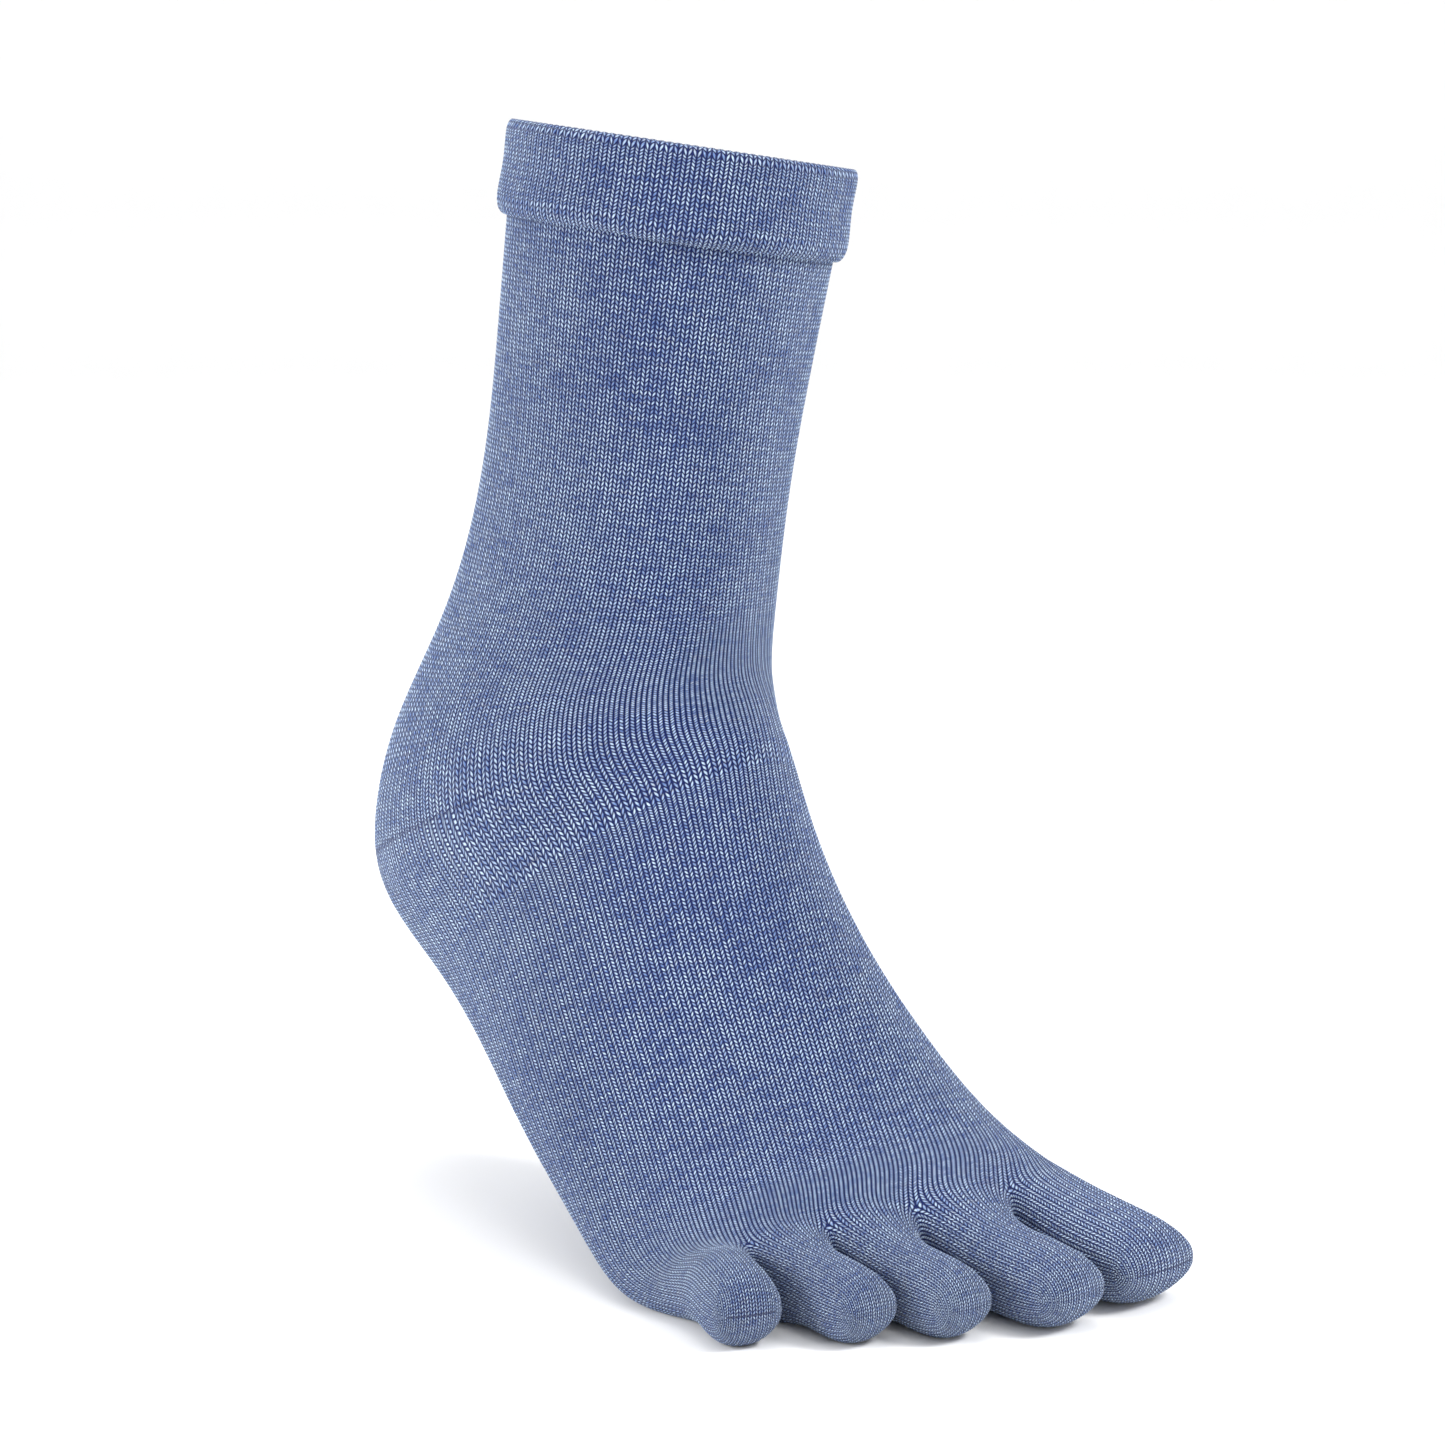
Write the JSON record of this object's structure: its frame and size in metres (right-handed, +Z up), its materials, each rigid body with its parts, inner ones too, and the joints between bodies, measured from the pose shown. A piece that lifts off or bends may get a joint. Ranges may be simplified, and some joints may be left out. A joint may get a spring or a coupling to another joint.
{
  "type": "toe sock",
  "caption": "Knitted toe sock for a right foot, worn shape on raised heel: open mouth with turned welt, leg, heel pocket, foot and separate toe pockets.",
  "frame": {"origin": "centre of the mouth, at the rim of the welt, where the leg that wears the sock leaves it", "axes": "+Z up, toes towards -Y, the little toe's side towards -X; the floor under the toes is at z = -0.2408"},
  "size_m": [0.1021, 0.2095, 0.2461],
  "materials": {
    "cuff_knit": "heathered denim blue fine knit, two layers turned over at the rim",
    "leg_knit": "heathered denim blue stocking stitch with pale flecks",
    "heel_knit": "heathered denim blue stocking stitch, slightly paler",
    "foot_knit": "heathered denim blue stocking stitch with pale flecks",
    "toe_knit": "heathered denim blue stocking stitch in tight ribs"
  },
  "bodies": {
    "root": {"cuff": "cuff_knit", "leg": "leg_knit", "heel": "heel_knit", "foot": "foot_knit", "toe_big": "toe_knit", "toe_second": "toe_knit", "toe_third": "toe_knit", "toe_fourth": "toe_knit", "toe_little": "toe_knit"}
  },
  "joints": []
}
